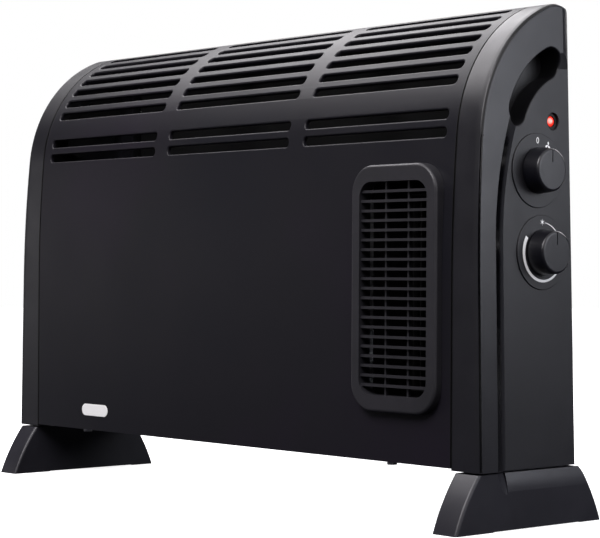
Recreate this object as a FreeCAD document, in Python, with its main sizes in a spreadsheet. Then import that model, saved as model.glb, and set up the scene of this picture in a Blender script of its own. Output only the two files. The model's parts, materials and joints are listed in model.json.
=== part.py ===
"""Convector heater with a fan: a slotted steel casing between two moulded end caps on two feet.

Frame: millimetres, origin on the floor under the middle of the overall box, +X to the right seen from
the front, +Y to the back, +Z up. Every body is drawn about the casing's own mid-plane and then moved
sideways by casing_shift, because the knobs stand out on the right only.
"""
import math
import os
import re

import FreeCAD
import Part
import Sketcher

SIZES = {
    "panel_width": 540.0,
    "cap_width": 30.0,
    "cap_lean": 1.15,
    "casing_depth": 115.0,
    "foot_height": 43.0,
    "foot_gap": 1.5,
    "cap_drop": 1.5,
    "bow_start": 187.0,
    "bow_radius": 1240.0,
    "bow_angle": 5.0,
    "shoulder_radius": 118.0,
    "shoulder_end": 70.0,
    "sheet": 0.8,
    "seam_gap": 0.8,
    "flange": 15.0,
    "lap_drop": 24.5,
    "lap_tongue": 10.0,
    "slot_margin": 11.6,
    "slot_web": 18.4,
    "slot_height": 7.2,
    "slot_corner": 3.2,
    "slot_first": 5.8,
    "slot_pitch": 6.78,
    "slot_rows_low": 2,
    "slot_rows_high": 7,
    "slot_collar": 1.8,
    "slot_collar_depth": 3.0,
    "slot_round": 1.4,
    "intake_short": 10.0,
    "intake_rows": 6,
    "intake_pitch": 14.0,
    "intake_lift": 38.0,
    "base_slot": 9.0,
    "base_slot_pitch": 20.0,
    "base_margin": 35.0,
    "cap_wall": 2.5,
    "cap_ledge": 1.2,
    "cap_floor": 3.0,
    "cap_round": 2.5,
    "cap_rear_round_low": 14.0,
    "cap_rear_round_high": 19.0,
    "lip_length": 8.0,
    "lip_wall": 2.2,
    "lip_gap": 0.2,
    "recess_depth": 4.4,
    "recess_bend": 258.0,
    "recess_step": 13.0,
    "recess_rise": 3.0,
    "grip_forward": 10.8,
    "grip_lift": 2.21,
    "grip_radius": 70.0,
    "grip_width": 24.0,
    "grip_low": 22.7,
    "grip_high": 66.4,
    "grip_back": 2.0,
    "grip_wall": 2.2,
    "grip_round": 1.0,
    "dial_forward": 1.05,
    "dial_lean": 4.0,
    "dial_rise": 10.4,
    "dial_gap": 5.2,
    "dial_radius": 28.4,
    "dial_thick": 1.0,
    "knob_radius": 17.6,
    "knob_draft": 1.3,
    "knob_round": 2.0,
    "knob_height": 13.9,
    "knob_gap": 0.8,
    "knob_wall": 2.0,
    "knob_hub_radius": 6.0,
    "pointer_width": 1.0,
    "pointer_length": 8.5,
    "pointer_depth": 0.6,
    "shaft_radius": 3.0,
    "shaft_gap": 0.05,
    "neck_radius": 5.0,
    "switch_size": 34.0,
    "switch_depth": 22.0,
    "thermostat_width": 30.0,
    "thermostat_height": 38.0,
    "thermostat_depth": 19.0,
    "lamp_back": 19.2,
    "lamp_rise": 20.3,
    "lamp_well_radius": 6.5,
    "lamp_well_round": 0.8,
    "lens_radius": 4.2,
    "lens_length": 8.0,
    "lens_set": 1.0,
    "foot_setback": 3.0,
    "foot_width": 25.0,
    "foot_flare": 24.0,
    "foot_bow": 160.0,
    "foot_pad_front": 40.0,
    "foot_pad_rear": 25.0,
    "foot_pad_step": 0.5,
    "foot_round": 2.5,
    "foot_scoop_height": 17.0,
    "foot_scoop_bend": 48.0,
    "foot_core_inset": 14.0,
    "foot_core_roof": 7.0,
    "foot_core_wall": 4.0,
    "screw_radius": 2.0,
    "screw_head_radius": 3.9,
    "screw_head_height": 2.6,
    "panel_screw_side": 70.0,
    "panel_screw_inset": 7.5,
    "grille_side": 56.5,
    "grille_lift": 38.0,
    "grille_width": 92.0,
    "grille_height": 190.0,
    "grille_corner": 22.0,
    "grille_stand": 7.0,
    "grille_round": 2.5,
    "grille_rim_side": 9.5,
    "grille_rim_end": 13.0,
    "grille_open_corner": 12.0,
    "grille_spigot": 5.0,
    "grille_spigot_wall": 1.6,
    "grille_bar": 2.1,
    "grille_bar_depth": 4.0,
    "grille_bar_setback": 2.2,
    "grille_bar_count": 21,
    "grille_post": 1.8,
    "shield_gap": 13.0,
    "shield_side": 15.0,
    "shield_fan_gap": 53.5,
    "shield_height": 215.0,
    "shield_flange": 18.0,
    "element_spacing": 38.0,
    "element_lift": 64.4,
    "element_radius": 4.0,
    "fin_depth": 32.0,
    "fin_height": 48.0,
    "fin_thick": 0.7,
    "fin_pitch": 9.2,
    "fin_margin": 9.0,
    "bracket_inset": 10.0,
    "bracket_thick": 1.2,
    "bracket_height": 66.0,
    "bracket_foot": 14.0,
    "fan_y": -9.5,
    "fan_radius": 27.0,
    "fan_disc": 1.6,
    "fan_blades": 20,
    "fan_gap": 8.0,
    "blade_depth": 8.0,
    "blade_thick": 0.9,
    "blade_bend": 7.0,
    "fan_plate": 1.2,
    "scroll_gap": 10.0,
    "motor_room": 26.4,
    "motor_width": 52.0,
    "motor_bore": 13.3,
    "motor_air_gap": 0.4,
    "coil_wall": 6.0,
    "gland_side": 25.0,
    "gland_lift": 20.0,
    "gland_bore": 3.6,
}

DERIVED = {
    "front_y": "-casing_depth / 2",
    "rear_y": "casing_depth / 2",
    "panel_half": "panel_width / 2",
    "cap_edge": "panel_half + cap_width",
    "cap_bottom": "foot_height + foot_gap",
    "panel_bottom": "cap_bottom + cap_drop",
    "deck_z": "panel_bottom + 2 * sheet",
    "shoulder_y": "front_y + bow_radius - (bow_radius - shoulder_radius) * cos(bow_angle)",
    "shoulder_z": "bow_start + (bow_radius - shoulder_radius) * sin(bow_angle)",
    "crown_radius": "(rear_y - shoulder_y + shoulder_radius * cos(shoulder_end)) / (1 + cos(shoulder_end))",
    "crown_z": "shoulder_z + (shoulder_radius - crown_radius) * sin(shoulder_end)",
    "lap_height": "crown_z - lap_drop",
    "slot_length": "(panel_width - 2 * slot_margin - 2 * slot_web) / 3",
    "slot_spacing": "slot_length + slot_web",
    "intake_length": "slot_length - intake_short",
    "intake_first": "panel_bottom + intake_lift",
    "base_slot_count": "floor((panel_width - 2 * base_margin) / base_slot_pitch) + 1",
    "recess_x": "cap_edge - recess_depth",
    "lean_base": "cap_bottom * tan(cap_lean)",
    "cavity_x": "recess_x - cap_floor",
    "grip_y": "shoulder_y - grip_forward",
    "grip_z": "shoulder_z + grip_lift",
    "grip_half": "grip_width / 2",
    "grip_depth": "cap_width - grip_back",
    "recess_y": "grip_y - grip_radius * cos(grip_low) - recess_bend * (1 - cos(grip_low))",
    "selector_y": "(recess_y + rear_y) / 2 - dial_forward",
    "selector_z": "grip_z - dial_radius + dial_rise",
    "thermostat_z": "selector_z - 2 * dial_radius - dial_gap",
    "thermostat_y": "selector_y + (selector_z - thermostat_z) * tan(dial_lean)",
    "lamp_y": "selector_y + lamp_back",
    "lamp_z": "grip_z + lamp_rise",
    "selector_x": "recess_x + lean_base - selector_z * tan(cap_lean)",
    "thermostat_x": "recess_x + lean_base - thermostat_z * tan(cap_lean)",
    "lamp_x": "recess_x + lean_base - lamp_z * tan(cap_lean)",
    "knob_top_radius": "knob_radius - knob_draft",
    "knob_face_radius": "knob_top_radius - knob_round",
    "knob_rise": "dial_thick + knob_gap",
    "casing_shift": "(cap_edge - thermostat_x - knob_rise - knob_height) / 2",
    "lip_bottom": "deck_z + 0.5",
    "lip_inset": "sheet + lip_gap",
    "foot_inner": "panel_half + foot_setback",
    "foot_outer": "foot_inner + foot_width",
    "foot_middle": "(foot_inner + foot_outer) / 2",
    "foot_top_length": "casing_depth",
    "foot_bottom_length": "foot_top_length + 2 * foot_flare",
    "foot_core_length": "foot_top_length - 2 * foot_core_inset",
    "foot_core_ceiling": "foot_height - foot_core_roof",
    "foot_screw_spacing": "foot_top_length / 2",
    "panel_screw_x": "panel_half - panel_screw_side",
    "grille_x": "panel_half - grille_side",
    "grille_z": "panel_bottom + grille_lift + grille_height / 2",
    "grille_open_width": "grille_width - 2 * grille_rim_side",
    "grille_open_height": "grille_height - 2 * grille_rim_end",
    "grille_bar_pitch": "grille_open_height / (grille_bar_count + 1)",
    "grille_front": "front_y - grille_stand",
    "bar_front": "grille_front + grille_bar_setback",
    "shield_y": "rear_y - shield_gap",
    "shield_left": "shield_side - panel_half",
    "shield_right": "grille_x - shield_fan_gap",
    "element_left": "shield_left + 3",
    "element_right": "shield_right - 10",
    "element_z": "deck_z + element_lift",
    "element_front_y": "-element_spacing / 2 - 4",
    "element_rear_y": "element_spacing / 2 - 4",
    "bracket_left": "element_left + bracket_inset",
    "bracket_right": "element_right - bracket_inset - bracket_thick",
    "fin_count": "floor((bracket_right - bracket_left - 2 * fin_margin) / fin_pitch) + 1",
    "fan_plate_low": "grille_z - grille_open_height / 2 - 5",
    "fan_plate_high": "grille_z + grille_open_height / 2 + 1",
    "fan_bottom": "fan_plate_low + fan_gap",
    "fan_top": "fan_plate_high - fan_gap - 2",
    "fan_length": "fan_top - fan_bottom",
    "plate_low_top": "fan_plate_low + fan_plate",
    "scroll_radius": "fan_radius + scroll_gap",
    "plate_left": "grille_x - scroll_radius - 6",
    "plate_right": "grille_x + scroll_radius + 4",
    "plate_front": "front_y + 9",
    "plate_rear": "fan_y + scroll_radius + 8",
    "motor_thick": "fan_plate_low - deck_z - motor_room",
    "motor_top": "fan_plate_low - fan_gap",
    "motor_bottom": "motor_top - motor_thick",
    "motor_rotor_radius": "motor_bore - motor_air_gap",
    "leg_front": "fan_y + motor_width / 2 + 8",
    "gland_x": "panel_half - gland_side",
    "gland_z": "panel_bottom + gland_lift",
}

doc = FreeCAD.newDocument("ConvectorHeater")
sheet = doc.addObject("Spreadsheet::Sheet", "Sizes")
for row, (alias, number) in enumerate(SIZES.items(), 1):
    sheet.set(f"A{row}", alias)
    sheet.set(f"B{row}", str(number))
    sheet.setAlias(f"B{row}", alias)
doc.recompute()


def formula(text):
    """An expression for FreeCAD, with each size's name led by the object that holds it."""
    def named(match):
        word = match.group(0)
        if word in SIZES:
            return "Sizes." + word
        if word in DERIVED:
            return "Derived." + word
        return word
    return re.sub(r"[A-Za-z_][A-Za-z_0-9]*", named, str(text))


derived = doc.addObject("App::VarSet", "Derived")
for name, text in DERIVED.items():
    derived.addProperty("App::PropertyFloat", name)
    derived.setExpression(name, formula(text))
doc.recompute()


def value(text):
    return float(sheet.evalExpression(formula(text)))


def bind(target, prop, text):
    target.setExpression(prop, formula(text))


def new_body(label):
    body = doc.addObject("PartDesign::Body", label)
    body.Label = label
    body.AllowCompound = True
    bind(body, "Placement.Base.x", "casing_shift")
    return body


NORMALS = {"YZ": 1, "XZ": -1, "XY": 1}


def sketch(body, plane, at="0", origin=("0", "0")):
    """A sketch across the given plane, at a place along its axis, with its own zero at origin."""
    support = next(f for f in body.Origin.OriginFeatures if f.Role == plane + "_Plane")
    made = body.newObject("Sketcher::SketchObject", body.Label + "_sketch")
    made.AttachmentSupport = (support, [""])
    made.MapMode = "FlatFace"
    bind(made, "AttachmentOffset.Base.x", origin[0])
    bind(made, "AttachmentOffset.Base.y", origin[1])
    bind(made, "AttachmentOffset.Base.z", f"{NORMALS[plane]} * ({at})")
    made.addProperty("App::PropertyInteger", "Facing")
    made.Facing = NORMALS[plane]
    return made


def arc(start, end, radius, turn):
    """The shorter arc between two points; turn tells which way it is drawn."""
    chord = end - start
    left = FreeCAD.Vector(-chord.y, chord.x, 0) / chord.Length
    reach = math.sqrt(max(0.0, radius ** 2 - (chord.Length / 2) ** 2))
    if turn == "cw":
        start, end, reach = end, start, -reach
    centre = (start + end) / 2 + left * reach
    angles = [math.atan2(p.y - centre.y, p.x - centre.x) for p in (start, end)]
    return Part.ArcOfCircle(Part.Circle(centre, FreeCAD.Vector(0, 0, 1), radius), *angles)


def outline(sk, corners):
    """A closed line through corners (u, v); (u, v, radius, turn) goes on to the next one by an arc."""
    points = [FreeCAD.Vector(value(c[0]), value(c[1]), 0) for c in corners]
    first = sk.GeometryCount
    count = len(corners)
    ends = []
    for i, corner in enumerate(corners):
        start, end = points[i], points[(i + 1) % count]
        if len(corner) == 2:
            sk.addGeometry(Part.LineSegment(start, end), False)
        else:
            sk.addGeometry(arc(start, end, value(corner[2]), corner[3]), False)
        ends.append((2, 1) if corner[-1] == "cw" else (1, 2))
    joins = []
    for i in range(count):
        after = (i + 1) % count
        joins.append(Sketcher.Constraint("Coincident", first + i, ends[i][1], first + after, ends[after][0]))
    sk.addConstraint(joins)
    limits, texts = [], []
    for i, corner in enumerate(corners):
        limits.append(Sketcher.Constraint("DistanceX", -1, 1, first + i, ends[i][0], points[i].x))
        limits.append(Sketcher.Constraint("DistanceY", -1, 1, first + i, ends[i][0], points[i].y))
        texts += [corner[0], corner[1]]
        if len(corner) == 4:
            limits.append(Sketcher.Constraint("Radius", first + i, value(corner[2])))
            texts.append(corner[2])
    for place, text in zip(sk.addConstraint(limits), texts):
        bind(sk, f"Constraints[{place}]", text)
    return sk


def circle(sk, u, v, radius):
    first = sk.GeometryCount
    centre = FreeCAD.Vector(value(u), value(v), 0)
    sk.addGeometry(Part.Circle(centre, FreeCAD.Vector(0, 0, 1), value(radius)), False)
    places = sk.addConstraint([
        Sketcher.Constraint("DistanceX", -1, 1, first, 3, centre.x),
        Sketcher.Constraint("DistanceY", -1, 1, first, 3, centre.y),
        Sketcher.Constraint("Radius", first, value(radius)),
    ])
    for place, text in zip(places, (u, v, radius)):
        bind(sk, f"Constraints[{place}]", text)
    return sk


def rectangle(sk, left, bottom, right, top):
    return outline(sk, [(left, bottom), (right, bottom), (right, top), (left, top)])


def rounded(sk, u, v, width, height, corner):
    """A rectangle about (u, v) with round corners."""
    left, right = f"{u} - ({width}) / 2", f"{u} + ({width}) / 2"
    low, high = f"{v} - ({height}) / 2", f"{v} + ({height}) / 2"
    return outline(sk, [
        (f"{left} + {corner}", low), (f"{right} - {corner}", low, corner, "ccw"),
        (right, f"{low} + {corner}"), (right, f"{high} - {corner}", corner, "ccw"),
        (f"{right} - {corner}", high), (f"{left} + {corner}", high, corner, "ccw"),
        (left, f"{high} - {corner}"), (left, f"{low} + {corner}", corner, "ccw"),
    ])


def extrude(kind, sk, length, way):
    body = sk.getParentGeoFeatureGroup()
    made = body.newObject("PartDesign::" + kind, f"{body.Label}_{kind.lower()}")
    made.Profile = sk
    bind(made, "Length", length)
    outward = 1 if kind == "Pad" else -1
    made.Reversed = sk.Facing * outward * way < 0
    sk.Visibility = False
    return made


def pad(sk, length, way=1):
    """Material from the sketch, along its axis (way 1) or against it (way -1)."""
    return extrude("Pad", sk, length, way)


def pocket(sk, length, way=1):
    return extrude("Pocket", sk, length, way)


def revolve(sk, axis="H_Axis", kind="Revolution"):
    body = sk.getParentGeoFeatureGroup()
    made = body.newObject("PartDesign::" + kind, f"{body.Label}_{kind.lower()}")
    made.Profile = sk
    made.ReferenceAxis = (sk, [axis])
    made.Angle = 360.0
    sk.Visibility = False
    return made


def row_of(feature, axis, count, pitch):
    """Copies of a feature along one of the sketch's axes, count of them at the given pitch."""
    body = feature.getParentGeoFeatureGroup()
    made = body.newObject("PartDesign::LinearPattern", body.Label + "_row")
    made.Originals = [feature]
    made.Direction = (feature.Profile[0], [axis])
    bind(made, "Occurrences", count)
    bind(made, "Length", f"({count} - 1) * ({pitch})")
    body.Tip = made
    return made


def ring_of(feature, axis_sketch, axis, count, angle):
    body = feature.getParentGeoFeatureGroup()
    made = body.newObject("PartDesign::PolarPattern", body.Label + "_ring")
    made.Originals = [feature]
    made.Axis = (axis_sketch, [axis])
    bind(made, "Occurrences", count)
    bind(made, "Angle", angle)
    body.Tip = made
    return made


def dress(body, kind, prop, size, wanted):
    """A fillet or chamfer on the edges of the body so far that the wanted test picks."""
    doc.recompute()
    shape = body.Tip.Shape
    names = [f"Edge{i}" for i, edge in enumerate(shape.Edges, 1) if wanted(edge)]
    made = body.newObject("PartDesign::" + kind, f"{body.Label}_{kind.lower()}")
    made.Base = (body.Tip if body.Tip != made else made.BaseFeature, names)
    bind(made, prop, size)
    body.Tip = made
    return made


def flat_at(axis, place):
    """A test for edges that lie wholly in the plane where the given axis has the given value."""
    target = value(place)

    def test(edge):
        box = edge.BoundBox
        low, high = getattr(box, axis + "Min"), getattr(box, axis + "Max")
        return abs(low - target) < 0.01 and abs(high - target) < 0.01
    return test


def profile(inset, bottom):
    """The casing's side outline, set in by the given distance, closed along the bottom."""
    d = f"({inset})"
    return [
        (f"front_y + {d}", bottom),
        (f"front_y + {d}", "bow_start", f"bow_radius - {d}", "cw"),
        bow_end(d) + (f"shoulder_radius - {d}", "cw"),
        shoulder_end(d) + (f"crown_radius - {d}", "cw"),
        (f"rear_y - {d}", "crown_z"),
        (f"rear_y - {d}", bottom),
    ]


def bow_end(d):
    reach = f"(shoulder_radius - {d})"
    return (f"shoulder_y - {reach} * cos(bow_angle)", f"shoulder_z + {reach} * sin(bow_angle)")


def shoulder_end(d):
    reach = f"(shoulder_radius - {d})"
    return (f"shoulder_y - {reach} * cos(shoulder_end)", f"shoulder_z + {reach} * sin(shoulder_end)")


def cavity_line(inset, bottom, rear):
    """The side outline set in, and cut off in front of the rear corner, which is rounded away."""
    height = f"crown_z + sqrt((crown_radius - {inset})^2 - ({rear} - rear_y + crown_radius)^2)"
    return profile(inset, bottom)[:4] + [(rear, height), (rear, bottom)]


def front_panel():
    """One bent sheet: foot flange, bowed front, slotted shoulder, crown and a lap down the back."""
    body = new_body("front_panel")
    strip = sketch(body, "YZ", "seam_gap - panel_half")
    outline(strip, [
        ("front_y", "panel_bottom"),
        ("front_y", "bow_start", "bow_radius", "cw"),
        bow_end("0") + ("shoulder_radius", "cw"),
        shoulder_end("0") + ("crown_radius", "cw"),
        ("rear_y", "crown_z"),
        ("rear_y", "lap_height"),
        ("rear_y - sheet", "lap_height"),
        ("rear_y - sheet", "crown_z", "crown_radius - sheet", "ccw"),
        shoulder_end("sheet") + ("shoulder_radius - sheet", "ccw"),
        bow_end("sheet") + ("bow_radius - sheet", "ccw"),
        ("front_y + sheet", "bow_start"),
        ("front_y + sheet", "panel_bottom + sheet"),
        ("front_y + flange", "panel_bottom + sheet"),
        ("front_y + flange", "panel_bottom"),
    ])
    pad(strip, "panel_width - 2 * seam_gap")
    axis = sketch(body, "YZ", "0", ("shoulder_y", "shoulder_z"))
    high = "slot_first + (slot_rows_low + 1) * slot_pitch"
    slot_collars(body, axis, "slot_first", "slot_rows_low")
    slot_collars(body, axis, high, "slot_rows_high - 1")
    slot_rows(body, axis, "slot_first", "slot_rows_low")
    slot_rows(body, axis, high, "slot_rows_high")
    round_slots(body)
    hole = sketch(body, "XZ", "front_y - 1")
    grow = "2 * grille_spigot_wall + 1"
    rounded(hole, "grille_x", "grille_z", f"grille_open_width + {grow}", f"grille_open_height + {grow}",
            "grille_open_corner")
    pocket(hole, "10")
    drill(body, "front_y + panel_screw_inset", "panel_bottom", "sheet")
    return body


def slot_sketch(body, angle, depth):
    """A sketch square to the shoulder at the given angle, the given depth below its outside."""
    reach = f"(shoulder_radius - {depth})"
    sk = sketch(body, "XZ", f"shoulder_y - {reach} * cos({angle})",
                ("0", f"shoulder_z + {reach} * sin({angle})"))
    bind(sk, "AttachmentOffset.Rotation.Axis.x", "1")
    bind(sk, "AttachmentOffset.Rotation.Axis.z", "0")
    bind(sk, "AttachmentOffset.Rotation.Angle", f"-({angle})")
    return sk


def three_across(sk, grow):
    for column in ("-slot_spacing", "0", "slot_spacing"):
        rounded(sk, column, "0", f"slot_length + 2 * {grow}", f"slot_height + 2 * {grow}",
                f"(slot_corner + {grow})")
    return sk


def slot_collars(body, axis, angle, rows):
    """Walls behind the sheet round each slot of some rows, as a plunged hole has."""
    wall = three_across(slot_sketch(body, angle, "sheet / 2"), "slot_collar")
    turn = ring_of(pad(wall, "slot_collar_depth"), axis, "N_Axis", rows, f"({rows} - 1) * slot_pitch")
    turn.Reversed = True


def slot_rows(body, axis, angle, rows):
    """Three slots side by side, cut square to the shoulder, then turned about its axis."""
    cut = pocket(three_across(slot_sketch(body, angle, "12"), "0"), "24", -1)
    turn = ring_of(cut, axis, "N_Axis", rows, f"({rows} - 1) * slot_pitch")
    turn.Reversed = True


def round_slots(body):
    """The outer edge of each plunged slot, rolled in."""
    centre_y, centre_z = value("shoulder_y"), value("shoulder_z")
    top = value("slot_first + (slot_rows_low + slot_rows_high - 0.5) * slot_pitch")
    reach = value("shoulder_radius")

    def wanted(edge):
        box = edge.BoundBox
        far = abs(box.Center.x) > value("panel_half - slot_margin + 1")
        if far or box.XLength > value("slot_length") + 1:
            return False
        y, z = centre_y - box.Center.y, box.Center.z - centre_z
        angle = math.degrees(math.atan2(z, y))
        near = abs(math.hypot(y, z) - reach) < 0.3
        return near and 0 < angle < top and box.DiagonalLength > 0.1 and outside(edge)

    def outside(edge):
        return all(abs(math.hypot(p.Y - centre_y, p.Z - centre_z) - reach) < 0.3 for p in edge.Vertexes)
    dress(body, "Fillet", "Radius", "slot_round", wanted)


def drill(body, y, z, depth):
    """Clearance holes for the two panel screws of one side."""
    holes = sketch(body, "XY", f"{z} - 1")
    for x in ("-panel_screw_x", "panel_screw_x"):
        circle(holes, x, y, "screw_radius + 0.03")
    pocket(holes, f"{depth} + 2", 1)


def rear_panel():
    """Flat back sheet with intake slots, a flange under it and a tongue behind the front panel's lap."""
    body = new_body("rear_panel")
    plate = sketch(body, "XZ", "rear_y - sheet")
    rectangle(plate, "seam_gap - panel_half", "panel_bottom", "panel_half - seam_gap",
              "lap_height - seam_gap")
    pad(plate, "sheet")
    fold = sketch(body, "XY", "panel_bottom")
    rectangle(fold, "seam_gap - panel_half", "rear_y - flange", "panel_half - seam_gap", "rear_y - sheet")
    pad(fold, "sheet")
    tongue = sketch(body, "XZ", "rear_y - 2 * sheet - 0.05")
    half = "panel_half - lip_length - 1"
    rectangle(tongue, f"-({half})", "lap_height - 2 * lap_tongue", half, "lap_height + lap_tongue")
    pad(tongue, "sheet")
    step = sketch(body, "XZ", "rear_y - sheet - 0.05")
    rectangle(step, f"-({half})", "lap_height - 2 * lap_tongue", half, "lap_height - lap_tongue")
    pad(step, "0.05")
    slots = sketch(body, "XZ", "rear_y - sheet - 1")
    for column in ("-slot_spacing", "0", "slot_spacing"):
        rounded(slots, column, "intake_first", "intake_length", "slot_height", "slot_corner")
    row_of(pocket(slots, "sheet + 2"), "V_Axis", "intake_rows", "intake_pitch")
    inlet = sketch(body, "XZ", "rear_y - sheet - 1")
    circle(inlet, "gland_x", "gland_z", "gland_bore + 3.05")
    pocket(inlet, "sheet + 2")
    drill(body, "rear_y - panel_screw_inset", "panel_bottom", "sheet")
    return body


def base_plate():
    """Slotted floor of the casing, laid on the two sheets' flanges."""
    body = new_body("base_plate")
    plate = sketch(body, "XY", "panel_bottom + sheet")
    half = "panel_half - lip_length - 1"
    rectangle(plate, f"-({half})", "front_y + sheet + 0.3", half, "rear_y - sheet - 0.3")
    pad(plate, "sheet")
    slots = sketch(body, "XY", "panel_bottom")
    start = "-(base_slot_count - 1) * base_slot_pitch / 2"
    rounded(slots, start, "0", "base_slot", "casing_depth - 2 * flange - 16", "base_slot / 2.2")
    row_of(pocket(slots, "3 * sheet"), "H_Axis", "base_slot_count", "base_slot_pitch")
    for y in ("front_y + panel_screw_inset", "rear_y - panel_screw_inset"):
        drill(body, y, "panel_bottom + sheet", "sheet")
    return body


def grip_line(offset):
    """Corners of a curved slot along the shoulder: the grip's mid-line widened by offset on each side."""
    far, near = f"(grip_radius + {offset})", f"(grip_radius - {offset})"

    def at(radius, angle):
        return (f"grip_y - {radius} * cos({angle})", f"grip_z + {radius} * sin({angle})")

    def tip(angle, sign):
        return (f"grip_y - grip_radius * cos({angle}) {sign} {offset} * sin({angle})",
                f"grip_z + grip_radius * sin({angle}) {sign} {offset} * cos({angle})")
    return [
        at(far, "grip_low") + (far, "cw"),
        at(far, "grip_high") + (offset, "cw"),
        tip("grip_high", "+") + (offset, "cw"),
        at(near, "grip_high") + (near, "ccw"),
        at(near, "grip_low") + (offset, "cw"),
        tip("grip_low", "-") + (offset, "cw"),
    ]


def recess_line(offset):
    """The sunk part of an end cap's side: bounded by a rim at the front and top, open below and behind."""
    o = f"({offset})"
    far = f"(grip_radius + {o})"
    low_z = "grip_z + (grip_radius - recess_bend) * sin(grip_low)"
    last_y, last_z = f"grip_y - {far} * cos(grip_high)", f"grip_z + {far} * sin(grip_high)"
    return [
        (f"recess_y - {o}", "cap_bottom - 20"),
        (f"recess_y - {o}", low_z, f"recess_bend + {o}", "cw"),
        (f"grip_y - {far} * cos(grip_low)", f"grip_z + {far} * sin(grip_low)", far, "cw"),
        (last_y, last_z),
        ("rear_y + 20", f"{last_z} + recess_rise"),
        ("rear_y + 20", "cap_bottom - 20"),
    ]


def leaning(body, x, side):
    """A sketch across the cap at the given place above its foot, leaning in with the cap's side."""
    sk = sketch(body, "YZ", f"{side} * ({x} + lean_base)")
    bind(sk, "AttachmentOffset.Rotation.Axis.x", "1")
    bind(sk, "AttachmentOffset.Rotation.Axis.z", "0")
    bind(sk, "AttachmentOffset.Rotation.Angle", f"{-side} * cap_lean")
    return sk


def loft_cut(sections):
    body = sections[0].getParentGeoFeatureGroup()
    made = body.newObject("PartDesign::SubtractiveLoft", body.Label + "_loft")
    made.Profile = sections[0]
    made.Sections = sections[1:]
    made.Ruled = True
    for sk in sections:
        sk.Visibility = False
    return made


def end_cap(label, side):
    """Moulded cap that closes one end: rim, sunk side, grip well, lip under the sheets and screw bosses."""
    body = new_body(label)

    def across(text):
        return f"{side} * ({text})"
    outer = sketch(body, "YZ", across("panel_half"))
    outline(outer, profile("0", "cap_bottom"))
    pad(outer, "cap_width", side)
    slant = sketch(body, "XY", "cap_bottom", (across("cap_edge"), "0"))
    bind(slant, "AttachmentOffset.Rotation.Axis.y", "1")
    bind(slant, "AttachmentOffset.Rotation.Axis.z", "0")
    bind(slant, "AttachmentOffset.Rotation.Angle", across("-cap_lean"))
    outline(slant, [
        ("0", "front_y"), ("0", "rear_y"), (across("cap_width"), "rear_y"), (across("cap_width"), "front_y"),
    ])
    pocket(slant, "crown_z + crown_radius", 1)
    doc.recompute()
    faces = body.Tip.Shape.Faces
    rim = max(faces, key=lambda face: side * face.CenterOfMass.x)

    def round_rim(edge):
        return any(edge.isSame(other) for other in rim.Edges) and edge.BoundBox.ZLength > 1
    dress(body, "Fillet", "Radius", "cap_round", round_rim)
    corners = []
    turn = "ccw" if side < 0 else "cw"
    top = "crown_z + crown_radius + 2"
    for z, radius in (("cap_bottom - 1", "cap_rear_round_low"), (top, "cap_rear_round_high")):
        edge_x = f"(cap_edge + lean_base - ({z}) * tan(cap_lean))"
        corner = sketch(body, "XY", z)
        corners.append(outline(corner, [
            (across(f"{edge_x} - {radius}"), "rear_y", f"1.2 * {radius}", turn),
            (across(edge_x), f"rear_y - {radius}"),
            (across("cap_edge + 2"), f"rear_y - {radius}"),
            (across("cap_edge + 2"), "rear_y + 2"),
            (across(f"{edge_x} - {radius}"), "rear_y + 2"),
        ]))
    loft_cut(corners)
    mouth = sketch(body, "YZ", across("panel_half"))
    outline(mouth, profile("cap_wall", "cap_bottom + cap_wall"))
    pocket(mouth, f"{edge_x} - panel_half - 0.8 * cap_rear_round_high - cap_wall", side)
    cavity = leaning(body, "cavity_x", side)
    inset = "(cap_wall + cap_ledge)"
    outline(cavity, cavity_line(inset, f"cap_bottom + {inset}", "rear_y - 0.73 * cap_rear_round_high"))
    pocket(cavity, "2 * cap_width", -side)
    lip = sketch(body, "YZ", across("panel_half - lip_length"))
    outline(lip, profile("lip_inset", "lip_bottom"))
    outline(lip, profile("lip_inset + lip_wall", "lip_bottom + lip_wall"))
    pad(lip, "lip_length + 3", side)
    well = sketch(body, "YZ", across("cap_edge - grip_depth - grip_wall"))
    outline(well, grip_line("(grip_half + grip_wall)"))
    lowest = "(grip_z + grip_radius * sin(grip_low) - grip_half)"
    reach = f"cavity_x + lean_base - {lowest} * tan(cap_lean)"
    pad(well, f"{reach} - cap_edge + grip_depth + grip_wall + 0.5", side)
    bosses = sketch(body, "XY", "cap_bottom + cap_wall - 0.5")
    for y in ("-foot_screw_spacing / 2", "foot_screw_spacing / 2"):
        circle(bosses, across("foot_middle"), y, "2 * screw_radius + 0.8")
    pad(bosses, "14")
    sections = []
    high = "recess_step * (0.66 + 1 / recess_depth)"
    for x, offset in (("cap_edge + 1", high), ("recess_x", "-0.34 * recess_step")):
        sections.append(outline(leaning(body, x, side), recess_line(offset)))
    loft_cut(sections)
    grip = sketch(body, "YZ", across("cap_edge + 1"))
    outline(grip, grip_line("grip_half"))
    pocket(grip, "grip_depth + 1", -side)
    round_grip(body, side)
    screw_holes = sketch(body, "XY", "cap_bottom - 1")
    for y in ("-foot_screw_spacing / 2", "foot_screw_spacing / 2"):
        circle(screw_holes, across("foot_middle"), y, "screw_radius + 0.02")
    pocket(screw_holes, "14", 1)
    return body


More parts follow.
